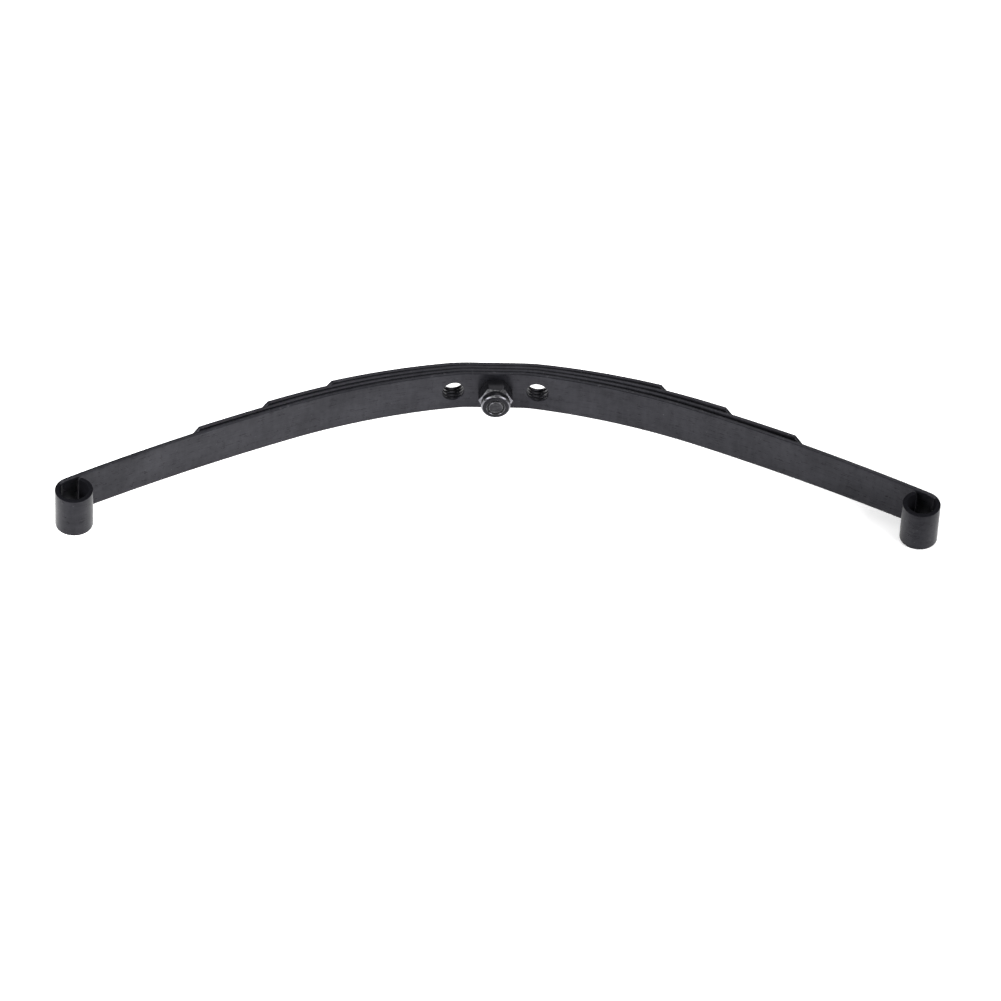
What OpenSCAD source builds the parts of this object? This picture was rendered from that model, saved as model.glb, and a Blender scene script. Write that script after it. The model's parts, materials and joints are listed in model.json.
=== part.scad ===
// Four-leaf spring with rolled eyes, held by one centre bolt and a lock nut.
// Millimetres. +X runs along the spring, +Y points to the convex side, and +Z runs
// across the leaves. The spring lies on its long edges at Z = 0, with the centre bolt
// above X = 0 and the middle of the main leaf's thickness at Y = 0.
// A leaf bends along its whole length. Here each leaf is a clamped middle and two
// arms, and every arm turns on the middle's end about a round nose.

/* [Leaf strip] */
// Width of every leaf
leaf_w = 6; // [4:0.5:10]
// Thickness of every leaf
leaf_t = 0.6; // [0.5:0.05:0.7]
// Half the flat seat in the middle, where the leaves are clamped
seat_half = 3.4; // [3:0.1:4]

/* [Arch] */
// Radius of the pressed bend at each end of the seat, on the main leaf's concave face
bend_r = 10; // [8:1:20]
// Angle of the pressed bend, in degrees
bend_turn = 9.5; // [8:0.1:12]
// How much wider each next leaf's bend is, which opens a small gap between the arms
bend_step = 3; // [2.6:0.1:3.2]
// How much less each next leaf bends on the left, in degrees, so that it stands off
stand_off_left = 0; // [0:0.1:0.6]
// How much less each next leaf bends on the right, in degrees
stand_off_right = 0.5; // [0:0.1:0.6]
// Radius of the arch beyond the bend
arch_r = 87; // [80:1:150]
// Length of the arch from the arm's pivot to the straighter tail
arch_len = 19.4; // [15:0.1:30]
// Radius of the tail that runs on to the eye
tail_r = 310; // [200:1:400]
// Length of the tail on the main leaf
tail_len = 33.1; // [25:0.1:40]

/* [Eyes] */
// Outer radius of each rolled eye
eye_r = 2.48; // [2:0.01:3.5]
// How far the strip is rolled round each eye, in degrees
eye_turn = 312; // [280:1:312]

/* [Shorter leaves] */
// Length of the second leaf's arm, from its pivot to its end
reach_2 = 33.8; // [26:0.1:40]
// Length of the third leaf's arm
reach_3 = 23.7; // [17:0.1:25]
// Length of the fourth leaf's arm
reach_4 = 14.5; // [7:0.1:16]
// Size of the 45 degree clip on the corners of the shorter leaves
clip = 1.1; // [0.5:0.1:1.8]

/* [Holes] */
// Distance between the two open holes
hole_spacing = 11.2; // [9:0.1:11.4]
// Radius of the two open holes
hole_r = 1.45; // [1:0.05:1.5]
// Radius of the centre bolt's hole
bolt_hole_r = 1.05; // [1.05:0.05:1.2]

/* [Centre bolt and nut] */
// Radius of the bolt's shank
bolt_r = 1; // [0.8:0.05:1]
// Radius of the bolt's low cap head
head_r = 1.8; // [1.7:0.05:2.1]
// Height of the bolt's low cap head
head_h = 1.1; // [1:0.1:1.6]
// Width across the flats of the head's hex socket
socket_af = 1.3; // [1.2:0.1:1.8]
// Depth of the head's hex socket
socket_d = 0.7; // [0.5:0.1:0.8]
// Width across the flats of the nut
nut_af = 4; // [3.6:0.1:4.4]
// Height of the nut's hexagon
hex_h = 2.05; // [1.8:0.05:2.2]
// Full height of the nut with its collar
nut_h = 3.3; // [2.8:0.1:3.5]
// Outer radius of the nut's round collar
collar_r = 1.96; // [1.75:0.01:1.98]
// How far the bolt's end stands out of the nut
bolt_proud = 0.02; // [0:0.02:0.5]

/* [Pivots] */
// Angle between the end of the main leaf's bend and its arm's pivot, in degrees
pivot_turn = 2.2; // [2:0.1:3]
// Clearance between an arm's round nose and the socket it turns in
nose_gap = 0.05; // [0.04:0.01:0.08]

/* [Hidden] */
leaf_count = 4;
eye_bore_r = eye_r - leaf_t;
nose_r = leaf_t / 2 - 0.02;
socket_r = nose_r + nose_gap;
concave_y = -leaf_t / 2;
convex_y = concave_y + leaf_count * leaf_t;
insert_r = 1.45;
insert_h = 0.55;
insert_sink = 0.2;
edge_chamfer = 0.3;
end_chamfer = 0.15;
cut = 0.5;
black_steel = [0.17, 0.17, 0.19];
chord_error = 0.002;
slit_lap = 0.15;
round_fn = 96;

// Radii of leaf k's concave face; leaf 0 is the main leaf.
function bend_radius(k) = bend_r + k * (leaf_t + bend_step);
function arch_radius(k) = arch_r + k * leaf_t;
function tail_radius(k) = tail_r + k * leaf_t;

// An arc is [radius, turn], with its turn in degrees.
function arc_of(radius, length) = [radius, length / radius * 180 / PI];

// A place on a leaf's concave face is [x, y, heading], and the heading is how far the
// leaf has turned down from +X.
function after(p, arc) = [
  p[0] + arc[0] * (sin(p[2] + arc[1]) - sin(p[2])),
  p[1] + arc[0] * (cos(p[2] + arc[1]) - cos(p[2])),
  p[2] + arc[1]
];
function walk(p, arcs, n) = n == 0 ? p : after(walk(p, arcs, n - 1), arcs[n - 1]);

// Places along a chain of arcs, close enough together to keep within chord_error
function steps(arc) = ceil(arc[1] / (2 * acos(1 - chord_error / arc[0])));
function places(p, arcs) = [
  p,
  for (i = [0:len(arcs) - 1])
    for (j = [1:steps(arcs[i])])
      after(walk(p, arcs, i), [arcs[i][0], arcs[i][1] * j / steps(arcs[i])])
];

// The point at a distance d from a place, towards the convex side
function off(p, d) = [p[0] + d * sin(p[2]), p[1] + d * cos(p[2])];
function line(at, d) = [for (p = at) off(p, d)];
function reversed(list) = [for (i = [len(list) - 1:-1:0]) list[i]];
function mirrored(points) = [for (p = points) [-p[0], p[1]]];

function seat_side(k) = [seat_half, concave_y + k * leaf_t, 0];

// Leaf k bends less the more it stands off. A wider bend ends further out, so its seat
// goes on for less, to keep the pivots abreast.
function bend_angle(k, stand_off) = bend_turn - k * stand_off;
function bend_lead(k, stand_off) =
  bend_radius(k) * sin(bend_angle(k, stand_off)) - (bend_r + k * leaf_t) * sin(bend_turn);
function seat_turn(k, stand_off) =
  pivot_turn - arc_of(arch_radius(k), bend_lead(k, stand_off))[1];
function seat_arcs(k, stand_off) = [
  [bend_radius(k), bend_angle(k, stand_off)],
  [arch_radius(k), seat_turn(k, stand_off)]
];
function seat_end(k, stand_off) = walk(seat_side(k), seat_arcs(k, stand_off), 2);

// The arcs of leaf k's arm, from its pivot to a length along the leaf
function arm_arcs(k, length) = length <= arch_len
  ? [arc_of(arch_radius(k), length)]
  : [arc_of(arch_radius(k), arch_len), arc_of(tail_radius(k), length - arch_len)];

// Puts its children in the strip's own frame at a place: +X outwards along the leaf
// and +Y towards the convex side.
module at(p) {
  translate([p[0], p[1], 0]) rotate([0, 0, -p[2]]) children();
}

// A round hole through the whole stack, along Y
module stack_hole(x, r) {
  translate([x, concave_y - cut, leaf_w / 2])
    rotate([-90, 0, 0])
      cylinder(r = r, h = convex_y - concave_y + 2 * cut, $fn = round_fn);
}

// The socket at the end of leaf k's seat
module arm_socket(k, stand_off) {
  at(seat_end(k, stand_off))
    translate([0, leaf_t / 2, -cut])
      cylinder(r = socket_r, h = leaf_w + 2 * cut, $fn = round_fn);
}

// The clamped middle of leaf k, with a socket at each end for the arms
module leaf_seat(k) {
  left = places(seat_side(k), seat_arcs(k, stand_off_left));
  right = places(seat_side(k), seat_arcs(k, stand_off_right));
  concave = concat(reversed(mirrored(line(left, 0))), line(right, 0));
  convex = concat(reversed(mirrored(line(left, leaf_t))), line(right, leaf_t));
  color(black_steel)
    difference() {
      linear_extrude(height = leaf_w) polygon(concat(concave, reversed(convex)));
      mirror([1, 0, 0]) arm_socket(k, stand_off_left);
      arm_socket(k, stand_off_right);
      stack_hole(-hole_spacing / 2, hole_r);
      stack_hole(0, bolt_hole_r);
      stack_hole(hole_spacing / 2, hole_r);
    }
}

// The round nose that an arm turns on, with its seam line turned to the open side
module arm_nose(start) {
  at(start)
    translate([0, leaf_t / 2, 0])
      rotate([0, 0, 180])
        cylinder(r = nose_r, h = leaf_w, $fn = round_fn);
}

// The main leaf's arm with its rolled eye. The outline runs in to the eye's centre, and
// the bore then cuts the eye's inside, which leaves the slit beside the rolled end.
module main_arm() {
  start = seat_end(0, 0);
  arcs = arm_arcs(0, arch_len + tail_len);
  short_arcs = arm_arcs(0, arch_len + tail_len - slit_lap);
  eye_start = walk(start, arcs, 2);
  eye_centre = off(eye_start, -eye_bore_r);
  concave = line(places(start, short_arcs), 0);
  convex = line(places(start, arcs), leaf_t);
  rolled = line(places(eye_start, [[eye_bore_r, eye_turn]]), leaf_t);
  color(black_steel)
    difference() {
      union() {
        arm_nose(start);
        linear_extrude(height = leaf_w)
          polygon(concat(concave, [eye_centre], reversed(rolled), reversed(convex)));
      }
      translate([eye_centre[0], eye_centre[1], -cut])
        cylinder(r = eye_bore_r, h = leaf_w + 2 * cut, $fn = round_fn);
    }
}

// A triangle that clips one corner at the end of a shorter leaf
module corner_clip() {
  translate([0, leaf_t + cut, 0])
    rotate([90, 0, 0])
      linear_extrude(height = leaf_t + 2 * cut)
        polygon([[-clip - cut, -cut], [cut, clip + cut], [cut, -cut]]);
}

module short_arm(k, reach, stand_off) {
  start = seat_end(k, stand_off);
  arcs = arm_arcs(k, reach);
  side = places(start, arcs);
  color(black_steel)
    difference() {
      union() {
        arm_nose(start);
        linear_extrude(height = leaf_w)
          polygon(concat(line(side, 0), reversed(line(side, leaf_t))));
      }
      at(walk(start, arcs, len(arcs))) {
        corner_clip();
        translate([0, 0, leaf_w]) mirror([0, 0, 1]) corner_clip();
      }
    }
}

module main_leaf_seat() { leaf_seat(0); }
module main_leaf_arm_left() { mirror([1, 0, 0]) main_arm(); }
module main_leaf_arm_right() { main_arm(); }
module second_leaf_seat() { leaf_seat(1); }
module second_leaf_arm_left() { mirror([1, 0, 0]) short_arm(1, reach_2, stand_off_left); }
module second_leaf_arm_right() { short_arm(1, reach_2, stand_off_right); }
module third_leaf_seat() { leaf_seat(2); }
module third_leaf_arm_left() { mirror([1, 0, 0]) short_arm(2, reach_3, stand_off_left); }
module third_leaf_arm_right() { short_arm(2, reach_3, stand_off_right); }
module fourth_leaf_seat() { leaf_seat(3); }
module fourth_leaf_arm_left() { mirror([1, 0, 0]) short_arm(3, reach_4, stand_off_left); }
module fourth_leaf_arm_right() { short_arm(3, reach_4, stand_off_right); }

// Puts its children on the bolt's axis, with +Z running from the main leaf to the nut
module on_nut_side() {
  translate([0, concave_y, leaf_w / 2]) rotate([90, 0, 0]) children();
}

// Low cap head on the convex side, shank through the stack and the nut
module centre_bolt() {
  stack_t = leaf_count * leaf_t;
  tip_z = nut_h + bolt_proud;
  color([0.14, 0.14, 0.15])
    on_nut_side()
      difference() {
        rotate_extrude($fn = round_fn)
          polygon([
            [0, -stack_t - head_h],
            [head_r - edge_chamfer, -stack_t - head_h],
            [head_r, -stack_t - head_h + edge_chamfer],
            [head_r, -stack_t],
            [bolt_r, -stack_t],
            [bolt_r, tip_z - end_chamfer],
            [bolt_r - end_chamfer, tip_z],
            [0, tip_z]
          ]);
        translate([0, 0, -stack_t - head_h - cut])
          cylinder(d = socket_af / cos(30), h = socket_d + cut, $fn = 6);
      }
}

// Hexagon with chamfered corners, and the round collar that holds the insert
module lock_nut() {
  corner_r = nut_af / 2 / cos(30);
  color([0.15, 0.15, 0.16])
    on_nut_side()
      difference() {
        union() {
          intersection() {
            cylinder(r = corner_r, h = hex_h, $fn = 6);
            rotate_extrude($fn = round_fn)
              polygon([
                [0, 0], [nut_af / 2, 0], [corner_r, edge_chamfer / 2],
                [corner_r, hex_h - edge_chamfer / 2], [nut_af / 2, hex_h], [0, hex_h]
              ]);
          }
          rotate_extrude($fn = round_fn)
            polygon([
              [0, hex_h - cut], [collar_r, hex_h - cut], [collar_r, nut_h - edge_chamfer],
              [collar_r - edge_chamfer, nut_h], [0, nut_h]
            ]);
        }
        translate([0, 0, -cut])
          cylinder(r = bolt_r, h = nut_h + 2 * cut, $fn = round_fn);
        translate([0, 0, nut_h - insert_sink - insert_h])
          cylinder(r = insert_r, h = insert_h + insert_sink + cut, $fn = round_fn);
      }
}

// Nylon ring in the nut's collar
module nut_insert() {
  color([0.09, 0.09, 0.1])
    on_nut_side()
      translate([0, 0, nut_h - insert_sink - insert_h])
        difference() {
          cylinder(r = insert_r, h = insert_h, $fn = round_fn);
          translate([0, 0, -cut])
            cylinder(r = bolt_r, h = insert_h + 2 * cut, $fn = round_fn);
        }
}

main_leaf_seat();
main_leaf_arm_left();
main_leaf_arm_right();
second_leaf_seat();
second_leaf_arm_left();
second_leaf_arm_right();
third_leaf_seat();
third_leaf_arm_left();
third_leaf_arm_right();
fourth_leaf_seat();
fourth_leaf_arm_left();
fourth_leaf_arm_right();
centre_bolt();
lock_nut();
nut_insert();
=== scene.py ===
import json
import math

import bmesh
import bpy
from mathutils import Matrix, Vector
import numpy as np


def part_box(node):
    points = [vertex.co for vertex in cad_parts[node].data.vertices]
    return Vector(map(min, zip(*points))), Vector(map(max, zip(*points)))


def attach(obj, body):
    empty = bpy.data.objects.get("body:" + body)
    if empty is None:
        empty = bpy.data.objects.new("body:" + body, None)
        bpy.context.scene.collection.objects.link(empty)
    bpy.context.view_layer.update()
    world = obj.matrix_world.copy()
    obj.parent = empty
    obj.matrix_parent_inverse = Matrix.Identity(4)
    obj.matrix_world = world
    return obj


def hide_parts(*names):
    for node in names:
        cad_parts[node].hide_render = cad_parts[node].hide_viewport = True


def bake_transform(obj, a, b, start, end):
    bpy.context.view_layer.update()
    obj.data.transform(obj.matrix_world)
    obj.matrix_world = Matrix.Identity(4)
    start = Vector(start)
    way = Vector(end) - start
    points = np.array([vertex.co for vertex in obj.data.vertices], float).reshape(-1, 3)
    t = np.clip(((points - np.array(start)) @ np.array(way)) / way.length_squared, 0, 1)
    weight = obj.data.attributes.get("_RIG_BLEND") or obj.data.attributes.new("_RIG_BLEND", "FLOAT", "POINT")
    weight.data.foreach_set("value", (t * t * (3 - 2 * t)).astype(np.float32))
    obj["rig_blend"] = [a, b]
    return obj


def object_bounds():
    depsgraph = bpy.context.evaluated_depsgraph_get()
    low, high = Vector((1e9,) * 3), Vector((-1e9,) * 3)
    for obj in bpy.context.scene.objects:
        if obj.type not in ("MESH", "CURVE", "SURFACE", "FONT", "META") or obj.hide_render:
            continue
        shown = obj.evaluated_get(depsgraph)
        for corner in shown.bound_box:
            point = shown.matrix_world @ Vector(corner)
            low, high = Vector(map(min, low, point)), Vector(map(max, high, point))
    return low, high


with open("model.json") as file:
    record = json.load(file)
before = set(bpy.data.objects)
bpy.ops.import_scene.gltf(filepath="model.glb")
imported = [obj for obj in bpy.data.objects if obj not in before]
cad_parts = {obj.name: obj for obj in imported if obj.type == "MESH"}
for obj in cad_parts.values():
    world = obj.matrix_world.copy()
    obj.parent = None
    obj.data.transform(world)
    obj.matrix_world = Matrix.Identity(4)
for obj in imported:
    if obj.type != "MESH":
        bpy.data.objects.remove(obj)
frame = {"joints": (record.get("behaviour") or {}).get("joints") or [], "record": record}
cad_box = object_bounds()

MM = 0.001
TOUCHING = 1e-6
RECORD = frame["record"]
MOUNTS = {mount["name"]: mount for mount in RECORD["mounts"]}
JOINTS = {joint["name"]: joint for joint in frame["joints"]}

# The spring's own dimensions, in millimetres. The main leaf is leaf 0.
LEAVES = ("main", "second", "third", "fourth")
LEAF_W = (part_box("main_leaf_seat")[1].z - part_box("main_leaf_seat")[0].z) / MM
LEAF_T = 0.6
SEAT_HALF = 3.4
BEND_R = 10.0
BEND_TURN = math.radians(9.5)
BEND_STEP = 3.0
STAND_OFF = {-1: 0.0, 1: math.radians(0.5)}
ARCH_R = 87.0
ARCH_TURN = math.radians(2.2)
ARCH_LEN = 19.4
TAIL_R = 310.0
TAIL_LEN = 33.1
EYE_BORE_R = MOUNTS["left_eye"]["dims"]["r_mm"]
EYE_TURN = math.radians(312)
REACHES = (ARCH_LEN + TAIL_LEN, 33.8, 23.7, 14.5)
CLIP = 1.1
EYE_END_CLIP = 0.15
HOLE_X = MOUNTS["seat_holes"]["dims"]["spacing_x_mm"] / 2
HOLE_R = MOUNTS["seat_holes"]["dims"]["hole_r_mm"]
BOLT_HOLE_R = 1.05
EDGE_R = 0.12
BLEND_REACH = 6.5

# How the leaves' meshes are cut, in millimetres
HOLE_STEPS = 64
BOLT_HOLE_STEPS = 48
PAST_MIDDLE = 2.0
RIM_ANGLE = math.radians(30)
SEAT_CUTS = (1.0, 2.0, 2.8)
CUT_TURN = math.radians(4.0)
CUT_LEN = 1.0
CUT_MARGIN = 0.01
MERGE = 0.002
EDGE_SPARE = 1e-4
EDGE_SEGMENTS = 3

# Angles in degrees above which an edge stays sharp, and how strongly flat faces stay flat
SHARP = 40.0
RING_SHARP = 60.0
FLAT_WEIGHT = 80

# How much painted shade the rolled eye gets, making it darker and less glossy, and the lengths over which
# that begins, in millimetres
EYE_DULL = 0.3
EYE_FADE = 4.0
EYE_MARGIN = 1.0

# How far the patterns are shifted from one leaf to the next, in millimetres
LEAF_SHIFT = 300.0

# The centre bolt and its nut in millimetres, measured along the bolt from the concave face
BOLT_R = 1.0
HEAD_R = MOUNTS["locating_head"]["dims"]["r_mm"]
HEAD_H = 1.1
SOCKET_AF = 1.3
SOCKET_D = 0.7
NUT_AF = 4.0
HEX_H = 2.05
NUT_H = 3.3
COLLAR_R = 1.96
LIP_R = 1.2
LIP_ROUND = 0.42
INSERT_R = 1.42
INSERT_H = 0.55
INSERT_SINK = 0.2
BOLT_PROUD = 0.02
KNURLS = 40
KNURL_DEPTH = 0.035
STACK_T = len(LEAVES) * LEAF_T
CONCAVE_Y = -LEAF_T / 2
CORNER_RUB = 0.985
CHAMFER_INSET = 0.06
CHAMFER_H = 0.22
CHAMFER_SPARE = 0.02
BORE_CHAMFER = 0.1
NECK_INSET = 0.06
NECK_H = 0.3
COLLAR_DRAFT = 0.02
EDGE_BREAK = 0.04
SOCKET_CHAMFER = 0.05
KNURL_START = 0.34
KNURL_END = 0.24

# Rounded ends, as steps of (in from the radius, back from the end) in millimetres
RING_FACE = ((0.0, 0.0), (0.08, -0.05), (0.14, -0.03))
RING_EDGE = 0.02
RING_GAP = 0.01
RING_SINK = 0.05
HEAD_EDGE = ((0.28, 0.0), (0.12, 0.06), (0.03, 0.16), (0.0, 0.26))
HEAD_BACK = ((0.0, 0.16), (0.0, 0.06), (0.06, 0.0))
TIP_EDGE = ((0.0, 0.16), (0.1, 0.04), (0.16, 0.0), (0.42, 0.01), (0.52, 0.05), (0.62, 0.03))
TIP_SINK = 0.04
LIP_STEPS = 6
NUT_STEPS = 144
RING_STEPS = 96
BOLT_STEPS = 240

# Faces of the nut and bolt whose normal's z is in this range show wear, with a painted highlight on the nut,
# and the others get painted shade
SLOPE = (0.35, 0.92)
FACE_PAINTED_SHADE = 0.65
TIP_FACING = 0.9
TIP_DEPTH = 0.1
TIP_WEAR = 0.4

# Scales of the patterns' places: even, along the strip and across it. "flat" is in millimetres.
STRETCH = {
    "flat": ((1.0, 1.0, 1.0), (0.16, 5.5, 5.5), (2.2, 0.25, 2.2)),
    None: ((1000.0, 1000.0, 1000.0), (1600.0, 1600.0, 1600.0), (900.0, 900.0, 900.0)),
}
PER_MM = STRETCH[None][0]
PER_M = (1.0, 1.0, 1.0)

# Patterns of noise: scale, detail, roughness
CLOUD = (0.13, 3.0, 0.6)
MOTTLE = (1.1, 4.0, 0.65)
STREAKS = (1.3, 2.0, 0.5)
STAINS = (0.8, 4.0, 0.6)
GRAIN = (8.0, 3.0, 0.6)
SPECKS = (2.6, 2.0, 0.4)
RUBBING_AND_HIGHLIGHT = (1.7, 4.0, 0.65)
SCUFFS = (4.0, 4.0, 0.6)
NYLON_GRAIN = (12.0, 3.0, 0.6)
CARD_TOOTH = (900.0, 3.0, 0.6)

# Black steel: each pattern's share in its tone, and how the tone sets its colour and sheen
CLOUD_SHARE = 0.34
MOTTLE_SHARE = 0.24
STREAK_SHARE = 0.18
STAIN_SHARE = 0.16
GRAIN_SHARE = 0.14
TONE = (0.40, 0.66)
SHEEN_LOW = 0.66
SHEEN_HIGH = 1.42
SPECK_RANGE = (0.73, 0.77)
SPECK_COVER = 0.5
RUB_AND_HIGHLIGHT_RANGE = (0.44, 0.68)
RUB_AND_HIGHLIGHT_SPREAD = 0.8
# Painted sheen, more towards a leaf's lower edge and less towards its upper one
PAINTED_SHEEN_BOTTOM = 1.14
PAINTED_SHEEN_TOP = 0.90
# How far the painted shade mixes the colour towards dark
PAINTED_SHADE_COVER = 0.8
COARSE_SHARE = 0.6
FINE_SHARE = 0.4
ROUGH_RANGE = (0.35, 0.65)
ROUGH_BELOW = 0.05
ROUGH_ABOVE = 0.07
BUMP_DEPTH = 0.02 * MM
STEEL_TINT = (0.89, 0.87, 1.0, 1.0)

# Black nylon and the white card
NYLON_DARK = (0.006, 0.006, 0.007, 1)
NYLON_PALE = (0.022, 0.022, 0.024, 1)
SCUFF_RANGE = (0.4, 0.7)
NYLON_ROUGH = (0.45, 0.65)
NYLON_RELIEF = 0.3
CARD_SHADE = (0.93, 0.93, 0.93, 1)
CARD_WHITE = (0.95, 0.95, 0.95, 1)
CARD_ROUGH = (0.75, 0.85)
NOISE_RANGE = (0.3, 0.7)


# ---------------------------------------------------------------- nodes and materials


class Nodes:
    """Adds shader nodes to one material, each with its inputs by name."""

    def __init__(self, name):
        self.material = bpy.data.materials.new(name)
        self.material.use_nodes = True
        self.tree = self.material.node_tree
        self.tree.nodes.clear()

    def add(self, kind, inputs=None, **settings):
        node = self.tree.nodes.new(kind)
        for key, value in settings.items():
            setattr(node, key, value)
        for key, value in (inputs or {}).items():
            if isinstance(value, bpy.types.NodeSocket):
                self.tree.links.new(value, node.inputs[key])
            else:
                node.inputs[key].default_value = value
        return node

    def place(self, attribute, scale):
        """A position along and across the strip, or the object's own, stretched by scale."""
        if attribute:
            source = self.add("ShaderNodeAttribute", attribute_name=attribute).outputs["Vector"]
        else:
            source = self.add("ShaderNodeTexCoord").outputs["Object"]
        return self.add("ShaderNodeMapping", {"Vector": source, "Scale": scale}).outputs["Vector"]

    def noise(self, place, scale, detail, rough):
        inputs = {"Vector": place, "Scale": scale, "Detail": detail, "Roughness": rough}
        return self.add("ShaderNodeTexNoise", inputs).outputs["Fac"]

    def remap(self, value, low, high, to_low=0.0, to_high=1.0):
        inputs = {"Value": value, "From Min": low, "From Max": high, "To Min": to_low, "To Max": to_high}
        return self.add("ShaderNodeMapRange", inputs).outputs["Result"]

    def math(self, operation, a, b):
        return self.add("ShaderNodeMath", {0: a, 1: b}, operation=operation).outputs[0]

    def shares(self, *parts):
        """The sum of (value, share) parts, each value times its share."""
        products = [self.math("MULTIPLY", value, share) for value, share in parts]
        total = products[0]
        for product in products[1:]:
            total = self.math("ADD", total, product)
        return total

    def mark(self, name):
        """A value from 0 to 1 that a mesh carries."""
        return self.add("ShaderNodeAttribute", attribute_name=name).outputs["Fac"]

    def mix(self, factor, a, b):
        node = self.add("ShaderNodeMix", data_type="RGBA")
        for index, value in ((0, factor), (6, a), (7, b)):
            if isinstance(value, bpy.types.NodeSocket):
                self.tree.links.new(value, node.inputs[index])
            else:
                node.inputs[index].default_value = value
        return node.outputs[2]

    def bump(self, height, strength):
        inputs = {"Height": height, "Strength": strength, "Distance": BUMP_DEPTH}
        return self.add("ShaderNodeBump", inputs).outputs["Normal"]

    def finish(self, **inputs):
        shader = self.add("ShaderNodeBsdfPrincipled", {k.replace("_", " "): v for k, v in inputs.items()})
        self.add("ShaderNodeOutputMaterial", {"Surface": shader.outputs["BSDF"]})
        return self.material


def black_steel(name, dark, pale, worn_and_highlight_colour, roughness, gloss, attribute=None, streak=1.0, wear_and_highlight_level=0.8,
                relief=0.22, edge_painted_sheen=1.0):
    """Black oxide on steel: cloudy tone, fine drawn streaks, specks of dust, edges pale from wear with
    painted sheen, and painted shade where a mesh marks it.
    """
    n = Nodes(name)
    even, drawn, across = [n.place(attribute, scale) for scale in STRETCH[attribute]]
    mottle = n.noise(even, *MOTTLE)
    grain = n.noise(even, *GRAIN)
    streaks = n.noise(drawn, *STREAKS)
    tone = n.shares(
        (n.noise(even, *CLOUD), CLOUD_SHARE),
        (mottle, MOTTLE_SHARE),
        (streaks, STREAK_SHARE * streak),
        (n.noise(across, *STAINS), STAIN_SHARE),
        (grain, GRAIN_SHARE),
    )
    edge = n.mark("edge")
    painted_shade = n.mark("painted_shade")
    speck = n.remap(n.noise(even, *SPECKS), *SPECK_RANGE)
    rub_and_highlight = n.remap(n.noise(even, *RUBBING_AND_HIGHLIGHT), *RUB_AND_HIGHLIGHT_RANGE, wear_and_highlight_level - RUB_AND_HIGHLIGHT_SPREAD, wear_and_highlight_level)
    colour = n.mix(n.remap(tone, *TONE), dark, pale)
    colour = n.mix(n.math("MULTIPLY", speck, SPECK_COVER), colour, worn_and_highlight_colour)
    # On the nut's chamfers and lips this pale edge colour is partly wear and partly a painted highlight
    colour = n.mix(n.math("MULTIPLY", edge, rub_and_highlight), colour, worn_and_highlight_colour)
    # Painted shade: marked faces are mixed towards the dark colour
    colour = n.mix(n.math("MULTIPLY", painted_shade, PAINTED_SHADE_COVER), colour, dark)
    sheen = n.remap(tone, *TONE, gloss * SHEEN_LOW, gloss * SHEEN_HIGH)
    # Painted sheen on the marked edges: less on the leaves' rounded edges, a painted shade, and more on the
    # nut's chamfers and lips, a painted highlight
    sheen = n.math("MULTIPLY", sheen, n.remap(edge, 0.0, 1.0, 1.0, edge_painted_sheen))
    if attribute:
        # Painted sheen: more at the leaf's lower edge, less at its upper edge
        height = n.add("ShaderNodeSeparateXYZ", {"Vector": even}).outputs["Y"]
        sheen = n.math("MULTIPLY", sheen, n.remap(height, 0.0, LEAF_W, PAINTED_SHEEN_BOTTOM, PAINTED_SHEEN_TOP))
    # Painted shade: marked faces lose their sheen
    sheen = n.math("MULTIPLY", sheen, n.remap(painted_shade, 0.0, 1.0, 1.0, 0.0))
    rough = n.shares((mottle, COARSE_SHARE), (streaks, FINE_SHARE))
    rough = n.remap(rough, *ROUGH_RANGE, roughness - ROUGH_BELOW, roughness + ROUGH_ABOVE)
    normal = n.bump(n.shares((streaks, COARSE_SHARE), (grain, FINE_SHARE)), relief)
    return n.finish(Base_Color=colour, Roughness=rough, Normal=normal,
                    Specular_IOR_Level=sheen, Specular_Tint=STEEL_TINT)


def leaf_steel():
    """Satin strip, drawn along its length and hardly showing wear, with painted shade on its rounded edges
    """
    return black_steel("leaf_black_oxide", dark=(0.0065, 0.0065, 0.008, 1), pale=(0.015, 0.015, 0.018, 1),
                       worn_and_highlight_colour=(0.08, 0.08, 0.086, 1), roughness=0.30, gloss=0.185, attribute="flat",
                       wear_and_highlight_level=0.3, relief=0.12, edge_painted_sheen=0.8)


def nut_steel():
    """Smooth, with chamfers and lips pale from wear and given a painted highlight"""
    return black_steel("nut_black_oxide", dark=(0.006, 0.006, 0.007, 1), pale=(0.014, 0.014, 0.016, 1),
                       worn_and_highlight_colour=(0.18, 0.18, 0.185, 1), roughness=0.20, gloss=0.36, streak=0.5, wear_and_highlight_level=0.95,
                       edge_painted_sheen=3.2)


def bolt_steel():
    """Coarser than the nut, from turning"""
    return black_steel("bolt_black_oxide", dark=(0.008, 0.008, 0.009, 1), pale=(0.018, 0.018, 0.020, 1),
                       worn_and_highlight_colour=(0.16, 0.16, 0.165, 1), roughness=0.28, gloss=0.45, streak=0.5, relief=0.9)


def nylon():
    """Black nylon, scuffed round the bolt"""
    n = Nodes("black_nylon")
    even = n.place(None, PER_MM)
    scuff = n.noise(even, *SCUFFS)
    colour = n.mix(n.remap(scuff, *SCUFF_RANGE), NYLON_DARK, NYLON_PALE)
    rough = n.remap(scuff, *NOISE_RANGE, *NYLON_ROUGH)
    normal = n.bump(n.noise(even, *NYLON_GRAIN), NYLON_RELIEF)
    return n.finish(Base_Color=colour, Roughness=rough, Normal=normal)


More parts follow.
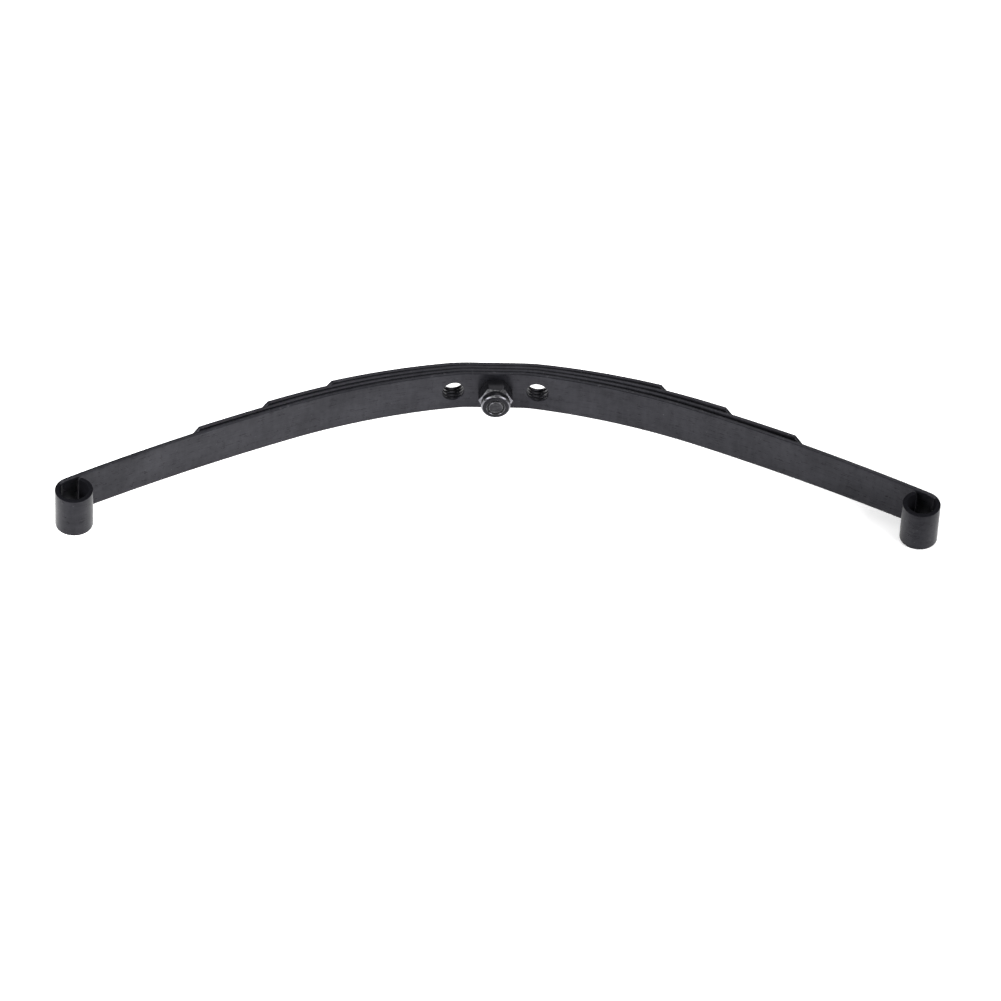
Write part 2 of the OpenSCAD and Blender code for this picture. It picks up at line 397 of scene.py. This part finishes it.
def white_card():
    """The matt white card that the spring lies on, which glows as painted light, less so on its right"""
    n = Nodes("white_card")
    along = n.add("ShaderNodeSeparateXYZ", {"Vector": n.place(None, PER_MM)}).outputs["X"]
    glow = n.remap(along, *GLOW_ENDS, CARD_GLOW, CARD_GLOW * GLOW_LEFT_OVER)
    tooth = n.noise(n.place(None, PER_M), *CARD_TOOTH)
    colour = n.mix(tooth, CARD_SHADE, CARD_WHITE)
    rough = n.remap(tooth, *NOISE_RANGE, *CARD_ROUGH)
    return n.finish(Base_Color=colour, Roughness=rough, Emission_Color=colour, Emission_Strength=glow)


# ---------------------------------------------------------------- the leaves


def after(place, radius, turn):
    """The place [x, y, heading] at the end of an arc on a leaf's concave face."""
    x, y, heading = place
    end = heading + turn
    return (
        x + radius * (math.sin(end) - math.sin(heading)),
        y + radius * (math.cos(end) - math.cos(heading)),
        end,
    )


def arcs_of(leaf, side):
    """(radius, turn) of each arc of a leaf on one side, from its flat seat to its end."""
    bend = BEND_R + leaf * (LEAF_T + BEND_STEP)
    bend_turn = BEND_TURN - leaf * STAND_OFF[side]
    arch = ARCH_R + leaf * LEAF_T
    tail = TAIL_R + leaf * LEAF_T
    lead = bend * math.sin(bend_turn) - (BEND_R + leaf * LEAF_T) * math.sin(BEND_TURN)
    reach = REACHES[leaf]
    arcs = [(bend, bend_turn), (arch, ARCH_TURN - lead / arch + min(reach, ARCH_LEN) / arch)]
    if reach > ARCH_LEN:
        arcs.append((tail, (reach - ARCH_LEN) / tail))
    if leaf == 0:
        arcs.append((EYE_BORE_R, EYE_TURN))
    return arcs


def length_of(arcs):
    """Length of half a leaf, from its middle to its end."""
    return SEAT_HALF + sum(radius * turn for radius, turn in arcs)


def place_along(leaf, arcs, s):
    """The place at a length s along the leaf from its middle."""
    start = CONCAVE_Y + leaf * LEAF_T
    if s <= SEAT_HALF:
        return (s, start, 0.0)
    place = (SEAT_HALF, start, 0.0)
    left = s - SEAT_HALF
    for radius, turn in arcs[:-1]:
        if left <= radius * turn:
            return after(place, radius, left / radius)
        place = after(place, radius, turn)
        left -= radius * turn
    return after(place, arcs[-1][0], left / arcs[-1][0])


def cuts_along(arcs):
    """Lengths at which a flat leaf is cut across so that it can bend smoothly."""
    cuts = list(SEAT_CUTS)
    s = SEAT_HALF
    for radius, turn in arcs:
        steps = math.ceil(max(turn / CUT_TURN, radius * turn / CUT_LEN))
        cuts += [s + radius * turn * i / steps for i in range(steps)]
        s += radius * turn
    return [cut for cut in cuts if cut < length_of(arcs) - CUT_MARGIN]


def arc_points(cx, cz, radius, start, stop, steps):
    """Points on an arc about (cx, cz), with both its ends."""
    angles = [start + (stop - start) * i / steps for i in range(steps + 1)]
    return [(cx + radius * math.cos(a), cz + radius * math.sin(a)) for a in angles]


def flat_outline(length, clip):
    """Closed loops of (s, z) that bound a flat leaf, from just past its middle to its end."""
    mid = LEAF_W / 2
    outer = [(-PAST_MIDDLE, 0.0), (length - clip, 0.0), (length, clip)]
    outer += [(length, LEAF_W - clip), (length - clip, LEAF_W), (-PAST_MIDDLE, LEAF_W)]
    hole = arc_points(HOLE_X, mid, HOLE_R, 0.0, 2 * math.pi, HOLE_STEPS)[:-1]
    bolt_hole = arc_points(0.0, mid, BOLT_HOLE_R, 0.0, 2 * math.pi, BOLT_HOLE_STEPS)[:-1]
    return [outer, hole, bolt_hole]


def flat_plate(arcs, clip):
    """Half a leaf as a flat plate with its holes: x is the length along it, y the thickness."""
    bm = bmesh.new()
    for loop in flat_outline(length_of(arcs), clip):
        verts = [bm.verts.new((s, 0.0, z)) for s, z in loop]
        for a, b in zip(verts, verts[1:] + verts[:1]):
            bm.edges.new((a, b))
    bmesh.ops.triangle_fill(bm, edges=bm.edges[:], use_beauty=True, use_dissolve=False)
    plate = bmesh.ops.extrude_face_region(bm, geom=bm.faces[:])
    moved = [g for g in plate["geom"] if isinstance(g, bmesh.types.BMVert)]
    bmesh.ops.translate(bm, vec=(0.0, LEAF_T, 0.0), verts=moved)
    bmesh.ops.recalc_face_normals(bm, faces=bm.faces[:])
    return bm


def round_edges(bm):
    """Rounds the plate's rims and the rims of its holes."""
    rims = [e for e in bm.edges if len(e.link_faces) == 2 and e.calc_face_angle() > RIM_ANGLE]
    bmesh.ops.bevel(bm, geom=rims, offset=EDGE_R, segments=EDGE_SEGMENTS, profile=0.5,
                    affect="EDGES", clamp_overlap=True)


def cut_across(bm, arcs):
    """Cuts the plate off at its middle, and across wherever it bends."""
    for s in [0.0] + cuts_along(arcs):
        geometry = bm.verts[:] + bm.edges[:] + bm.faces[:]
        bmesh.ops.bisect_plane(bm, geom=geometry, dist=TOUCHING, plane_co=(s, 0, 0),
                               plane_no=(1, 0, 0), clear_inner=s == 0.0)
    bmesh.ops.remove_doubles(bm, verts=bm.verts[:], dist=MERGE)
    bmesh.ops.holes_fill(bm, edges=[e for e in bm.edges if e.is_boundary], sides=0)
    bmesh.ops.recalc_face_normals(bm, faces=bm.faces[:])


def mark_painted_shade(bm, leaf, arcs):
    """Marks painted shade on the main leaf's rolled eye, a little on its outside and fully on its bore, rims
    and cut end.
    """
    painted_shade = bm.faces.layers.float.new("painted_shade")
    if leaf > 0:
        return
    eye = length_of(arcs) - EYE_BORE_R * EYE_TURN
    for face in bm.faces:
        middle = face.calc_center_median()
        on_rim = min(middle.z, LEAF_W - middle.z) < EDGE_R
        on_end = middle.x > length_of(arcs) - EDGE_R
        in_bore = middle.y < EDGE_R
        fully_shaded = middle.x > eye + EYE_MARGIN and (on_rim or on_end or in_bore)
        face[painted_shade] = 1.0 if fully_shaded else EYE_DULL * min(max((middle.x - eye) / EYE_FADE, 0.0), 1.0)


def bend_leaf(bm, leaf, arcs, side):
    """Bends the flat plate along the leaf's arcs, and keeps its flat place for the materials."""
    flat = bm.verts.layers.float_vector.new("flat")
    edge = bm.verts.layers.float.new("edge")
    mark_painted_shade(bm, leaf, arcs)
    for v in bm.verts:
        s, depth, z = v.co
        x, y, heading = place_along(leaf, arcs, s)
        in_edge = min(depth, LEAF_T - depth)
        v[edge] = 1.0 if EDGE_SPARE < in_edge < EDGE_R - EDGE_SPARE else 0.0
        v[flat] = (side * s + LEAF_SHIFT * leaf, z, depth)
        v.co = (
            side * (x + depth * math.sin(heading)) * MM,
            (y + depth * math.cos(heading)) * MM,
            z * MM,
        )
    if side < 0:
        bmesh.ops.reverse_faces(bm, faces=bm.faces[:])


def finish_piece(bm, name, material, sharp=SHARP):
    """Turns a mesh into a smooth-shaded object whose flat faces stay flat."""
    mesh = bpy.data.meshes.new(name)
    for face in bm.faces:
        face.smooth = True
    bm.to_mesh(mesh)
    bm.free()
    mesh.set_sharp_from_angle(angle=math.radians(sharp))
    mesh.materials.append(material)
    piece = bpy.data.objects.new(name, mesh)
    bpy.context.scene.collection.objects.link(piece)
    weighted = piece.modifiers.new("flat_faces", "WEIGHTED_NORMAL")
    weighted.keep_sharp = True
    weighted.weight = FLAT_WEIGHT
    return piece


def half_leaf(leaf, side_name, side, material):
    """One half of a leaf, which bends from the seat to the arm on its side."""
    arcs = arcs_of(leaf, side)
    bm = flat_plate(arcs, CLIP if leaf else EYE_END_CLIP)
    round_edges(bm)
    cut_across(bm, arcs)
    bend_leaf(bm, leaf, arcs, side)
    name = f"{LEAVES[leaf]}_leaf_{side_name}"
    piece = finish_piece(bm, name, material)
    pivot = Vector(JOINTS[f"{LEAVES[leaf]}_flex_{side_name}"]["pos_m"])
    along = Vector((side * math.cos(BEND_TURN), -math.sin(BEND_TURN), 0.0))
    reach = BLEND_REACH * MM
    arm = f"{LEAVES[leaf]}_arm_{side_name}"
    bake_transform(piece, "seat", arm, start=pivot - along * reach, end=pivot + along * reach)
    replaced = [f"{LEAVES[leaf]}_leaf_arm_{side_name}"]
    if side > 0:
        replaced.append(f"{LEAVES[leaf]}_leaf_seat")
    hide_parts(*replaced)


# ---------------------------------------------------------------- the bolt and the nut


def turned(profile_at, steps):
    """A closed solid about Z: profile_at(angle) gives its loop of (radius, z) points there."""
    bm = bmesh.new()
    rings = []
    for i in range(steps):
        a = 2 * math.pi * i / steps
        rings.append([bm.verts.new((r * math.cos(a), r * math.sin(a), z)) for r, z in profile_at(a)])
    for i in range(steps):
        a, b = rings[i], rings[(i + 1) % steps]
        for j in range(len(a)):
            k = (j + 1) % len(a)
            if a[j].co.xy.length > TOUCHING or a[k].co.xy.length > TOUCHING:
                bm.faces.new((a[j], b[j], b[k], a[k]))
    bmesh.ops.remove_doubles(bm, verts=bm.verts[:], dist=TOUCHING)
    bmesh.ops.recalc_face_normals(bm, faces=bm.faces[:])
    mark_slopes(bm)
    return bm


def mark_slopes(bm):
    """Marks the chamfers and rounded lips as showing wear, painted as a highlight on the nut, and gives the
    ends and the sides painted shade.
    """
    edge = bm.faces.layers.float.new("edge")
    painted_shade = bm.faces.layers.float.new("painted_shade")
    for face in bm.faces:
        sloping = SLOPE[0] < abs(face.normal.z) < SLOPE[1]
        face[edge] = 1.0 if sloping else 0.0
        face[painted_shade] = 0.0 if sloping else FACE_PAINTED_SHADE


def mark_tip(bm, tip):
    """Marks the rough end of the bolt as showing some wear."""
    edge = bm.faces.layers.float["edge"]
    for face in bm.faces:
        if face.normal.z > TIP_FACING and face.calc_center_median().z > tip - TIP_DEPTH:
            face[edge] = TIP_WEAR


def hexagon(angle, across_flats):
    """Radius of a hexagon at an angle from one of its corners, with the corners rubbed round."""
    from_flat = angle % (math.pi / 3) - math.pi / 6
    corner = across_flats / 2 / math.cos(math.pi / 6)
    return min(across_flats / 2 / math.cos(from_flat), corner * CORNER_RUB)


def on_bolt(bm):
    """Moves a mesh in millimetres on to the bolt: its z runs from the main leaf to the nut's end."""
    turn = Matrix.Rotation(math.radians(90), 4, "X")
    where = Matrix.Translation(Vector((0.0, CONCAVE_Y * MM, LEAF_W / 2 * MM)))
    bmesh.ops.transform(bm, matrix=where @ turn @ Matrix.Scale(MM, 4), verts=bm.verts[:])


def seat_piece(bm, name, material, node, sharp=SHARP):
    """A piece on the bolt, which stays with the seat."""
    on_bolt(bm)
    piece = finish_piece(bm, name, material, sharp)
    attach(piece, "seat")
    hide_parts(node)


def nut(material):
    """Hexagon with chamfered corners, and a round collar rolled over the nylon ring"""
    flat_r = NUT_AF / 2 - CHAMFER_INSET
    slope = CHAMFER_H / (NUT_AF / 2 / math.cos(math.pi / 6) + CHAMFER_SPARE - flat_r)
    sunk = NUT_H - INSERT_SINK
    lip = arc_points(COLLAR_R - LIP_ROUND, NUT_H - LIP_ROUND, LIP_ROUND, 0.0, math.pi / 2, LIP_STEPS)

    def profile(angle):
        radius = hexagon(angle, NUT_AF)
        chamfer = (radius - flat_r) * slope
        return [
            (BOLT_R, BORE_CHAMFER), (BOLT_R + BORE_CHAMFER, 0.0), (flat_r, 0.0), (radius, chamfer),
            (radius, HEX_H - chamfer), (flat_r, HEX_H), (flat_r - NECK_INSET, HEX_H + EDGE_BREAK),
            (COLLAR_R - COLLAR_DRAFT, HEX_H + NECK_H), *lip, (LIP_R + EDGE_BREAK, NUT_H),
            (LIP_R, NUT_H - EDGE_BREAK), (LIP_R, sunk + EDGE_BREAK), (INSERT_R, sunk),
            (INSERT_R, sunk - INSERT_H), (BOLT_R, sunk - INSERT_H),
        ]

    seat_piece(turned(profile, NUT_STEPS), "lock_nut_body", material, "lock_nut")


def insert(material):
    """Nylon ring in the nut's collar, swollen a little round the bolt"""
    top = NUT_H - INSERT_SINK
    low = top - INSERT_H
    face = [(LIP_R - inward, top - back) for inward, back in RING_FACE]
    ring = [
        (INSERT_R, low), (INSERT_R, top - RING_EDGE), *face,
        (BOLT_R + RING_GAP, top - RING_SINK), (BOLT_R + RING_GAP, low),
    ]
    bm = turned(lambda angle: ring, RING_STEPS)
    seat_piece(bm, "nylon_ring", material, "nut_insert", RING_SHARP)


def bolt(material):
    """Shank with a turned end on the nut's side, and a low knurled cap head with a hex socket."""
    head_low = -STACK_T - HEAD_H
    head_high = -STACK_T
    tip = NUT_H + BOLT_PROUD
    head_edge = [(HEAD_R - inward, head_low + back) for inward, back in HEAD_EDGE]
    head_back = [(HEAD_R - inward, head_high - back) for inward, back in HEAD_BACK]
    tip_edge = [(BOLT_R - inward, tip - back) for inward, back in TIP_EDGE]

    def profile(angle):
        socket = hexagon(angle, SOCKET_AF)
        side = HEAD_R - KNURL_DEPTH * (0.5 + 0.5 * math.cos(KNURLS * angle))
        return [
            (0.0, head_low + SOCKET_D), (socket, head_low + SOCKET_D),
            (socket, head_low + SOCKET_CHAMFER), (socket + SOCKET_CHAMFER, head_low), *head_edge,
            (side, head_low + KNURL_START), (side, head_high - KNURL_END), *head_back,
            (BOLT_R, head_high), *tip_edge, (0.0, tip - TIP_SINK),
        ]

    bm = turned(profile, BOLT_STEPS)
    mark_tip(bm, tip)
    seat_piece(bm, "centre_bolt_body", material, "centre_bolt")


# ---------------------------------------------------------------- stage, light and camera

CAMERA_TARGET = Vector((0.526, -18.344, 0.0)) * MM
CAMERA_DISTANCE = 891.66 * MM
CAMERA_ELEVATION = math.radians(43.0)
CAMERA_AZIMUTH = math.radians(2.771)
CAMERA_ROLL = math.radians(2.847)
CAMERA_LENS = 244.56
CAMERA_SENSOR = 36.0
CAMERA_CLIP = (0.01, 20.0)
ROOM_GREY = 0.0509

# The card's glow falls off between these two places along the spring, in millimetres
CARD_GLOW = 1.1
GLOW_LEFT_OVER = 0.15
GLOW_ENDS = (5.0, 66.0)
FLOOR_HALF = 2.0
FLOOR_CELLS = 8

# Azimuth and elevation in degrees, distance and size in metres, power in watts
SOFTBOXES = {
    "right": (-66, 32, 0.6, (0.4, 0.3), 3.5),
    "left": (66, 32, 0.35, (0.22, 0.16), 1.4),
    "top": (-150, 58, 0.9, (0.8, 0.7), 4.5),
}


def looking_from(azimuth, elevation):
    """Unit vector from the target towards a viewer, azimuth 0 being on the -Y side."""
    flat = math.cos(elevation)
    return Vector((-math.sin(azimuth) * flat, -math.cos(azimuth) * flat, math.sin(elevation)))


def camera():
    """A long lens from above the concave side, level with the spring's middle."""
    data = bpy.data.cameras.new("camera")
    data.lens = CAMERA_LENS
    data.sensor_width = CAMERA_SENSOR
    data.clip_start, data.clip_end = CAMERA_CLIP
    view = bpy.data.objects.new("camera", data)
    bpy.context.scene.collection.objects.link(view)
    back = looking_from(CAMERA_AZIMUTH, CAMERA_ELEVATION)
    turn = back.to_track_quat("Z", "Y").to_matrix().to_4x4()
    roll = Matrix.Rotation(CAMERA_ROLL, 4, "Z")
    view.matrix_world = Matrix.Translation(CAMERA_TARGET + back * CAMERA_DISTANCE) @ turn @ roll
    bpy.context.scene.camera = view


def softbox(name, azimuth, elevation, distance, size, power):
    """A rectangular lamp that faces the middle of the spring."""
    data = bpy.data.lights.new(name, "AREA")
    data.shape = "RECTANGLE"
    data.size, data.size_y = size
    data.energy = power
    lamp = bpy.data.objects.new(name, data)
    bpy.context.scene.collection.objects.link(lamp)
    back = looking_from(math.radians(azimuth), math.radians(elevation))
    turn = back.to_track_quat("Z", "Y").to_matrix().to_4x4()
    lamp.matrix_world = Matrix.Translation(back * distance) @ turn


def world_light():
    """A dim grey room. The lamps and the card give most of the light."""
    world = bpy.data.worlds.new("studio")
    bpy.context.scene.world = world
    world.use_nodes = True
    background = world.node_tree.nodes["Background"]
    background.inputs["Color"].default_value = (ROOM_GREY, ROOM_GREY, ROOM_GREY, 1.0)


def floor_card():
    """The card under the spring's long edges."""
    bm = bmesh.new()
    bmesh.ops.create_grid(bm, x_segments=FLOOR_CELLS, y_segments=FLOOR_CELLS, size=FLOOR_HALF)
    floor = finish_piece(bm, "floor", white_card())
    floor.location.z = cad_box[0][2]


def studio():
    world_light()
    for name, settings in SOFTBOXES.items():
        softbox(name, *settings)
    floor_card()
    bpy.context.scene.view_settings.view_transform = "Standard"


camera()
strip = leaf_steel()
nut_metal = nut_steel()
bolt_metal = bolt_steel()
for leaf in range(len(LEAVES)):
    half_leaf(leaf, "left", -1, strip)
    half_leaf(leaf, "right", 1, strip)
nut(nut_metal)
insert(nylon())
bolt(bolt_metal)
studio()
